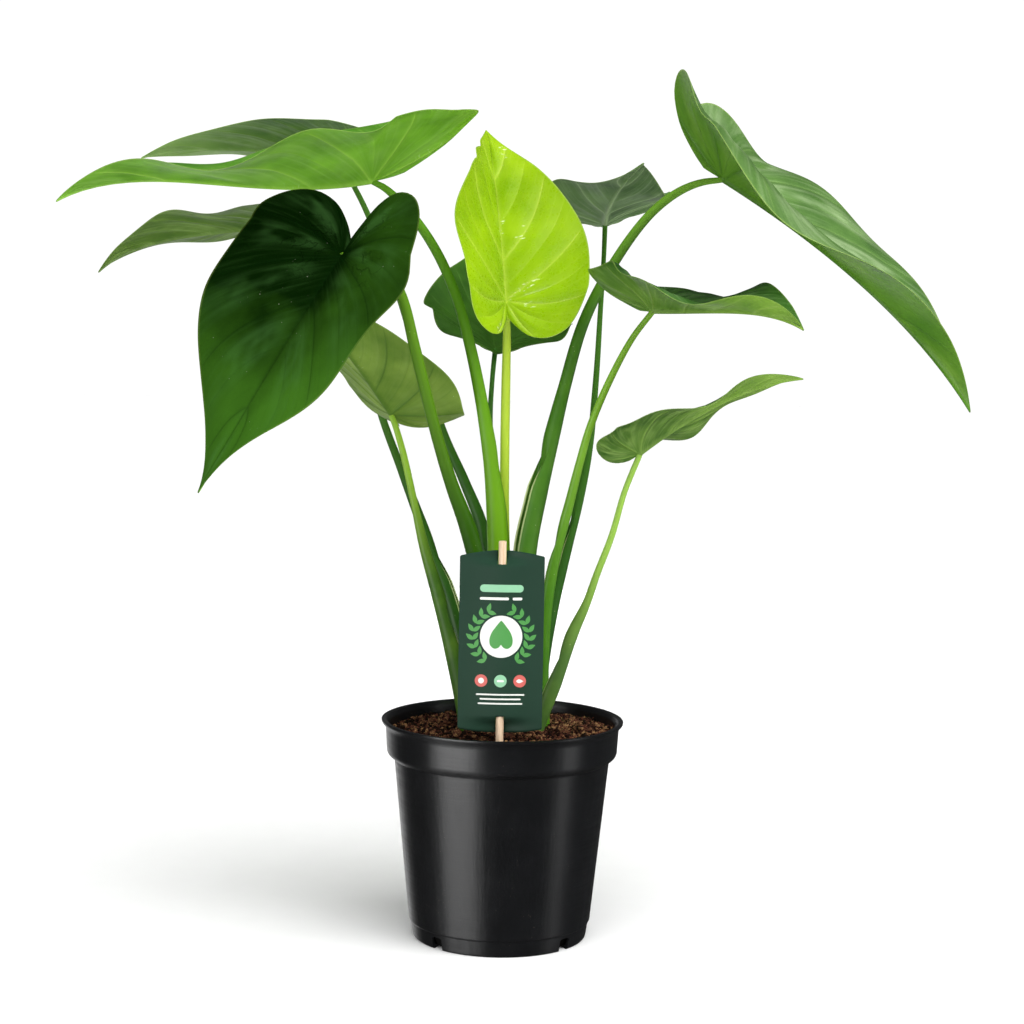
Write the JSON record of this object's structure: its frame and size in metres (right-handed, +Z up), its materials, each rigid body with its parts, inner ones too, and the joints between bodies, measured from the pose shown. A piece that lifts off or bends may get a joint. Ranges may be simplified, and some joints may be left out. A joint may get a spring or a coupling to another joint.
{
  "type": "potted chinese taro",
  "caption": "Leafy house plant with large heart-shaped leaves on long stems, in a black nursery pot with soil and a plain label card on a stick.",
  "frame": {"origin": "middle of the pot's base, on the surface it stands on", "axes": "+Z up, -Y towards the front, where the label card stands, +X to the right seen from the front"},
  "size_m": [0.7608, 0.4952, 0.7439],
  "materials": {
    "pot": "black satin-gloss moulded plastic",
    "soil": "reddish-brown fibrous potting mix",
    "label_card": null,
    "label_stick": "bare smooth softwood",
    "leaf_young": "bright yellow-green, softly glossy young leaf",
    "leaf_light": "light green leaf, glossy above and matt below",
    "leaf_mid": "mid green leaf, glossy above and paler matt below",
    "leaf_dark": "dark green leaf, glossy above and paler matt below",
    "stem_light": "light yellow-green smooth stem",
    "stem_mid": "mid green smooth stem, darker at its foot",
    "stem_dark": "dark green smooth stem"
  },
  "bodies": {
    "root": {"pot": "pot", "soil": "soil", "label_card": "label_card", "label_stick": "label_stick", "blade_young": "leaf_young", "stem_young": "stem_light", "blade_long_left": "leaf_light", "stem_long_left": "stem_mid", "blade_back_left": "leaf_mid", "stem_back_left": "stem_dark", "blade_front": "leaf_dark", "stem_front": "stem_mid", "blade_side_left": "leaf_mid", "stem_side_left": "stem_dark", "blade_low_left": "leaf_mid", "stem_low_left": "stem_mid", "blade_back": "leaf_dark", "stem_back": "stem_dark", "blade_long_right": "leaf_dark", "stem_long_right": "stem_mid", "blade_back_right": "leaf_dark", "stem_back_right": "stem_dark", "blade_side_right": "leaf_mid", "stem_side_right": "stem_mid", "blade_low_right": "leaf_mid", "stem_low_right": "stem_mid"}
  },
  "joints": []
}
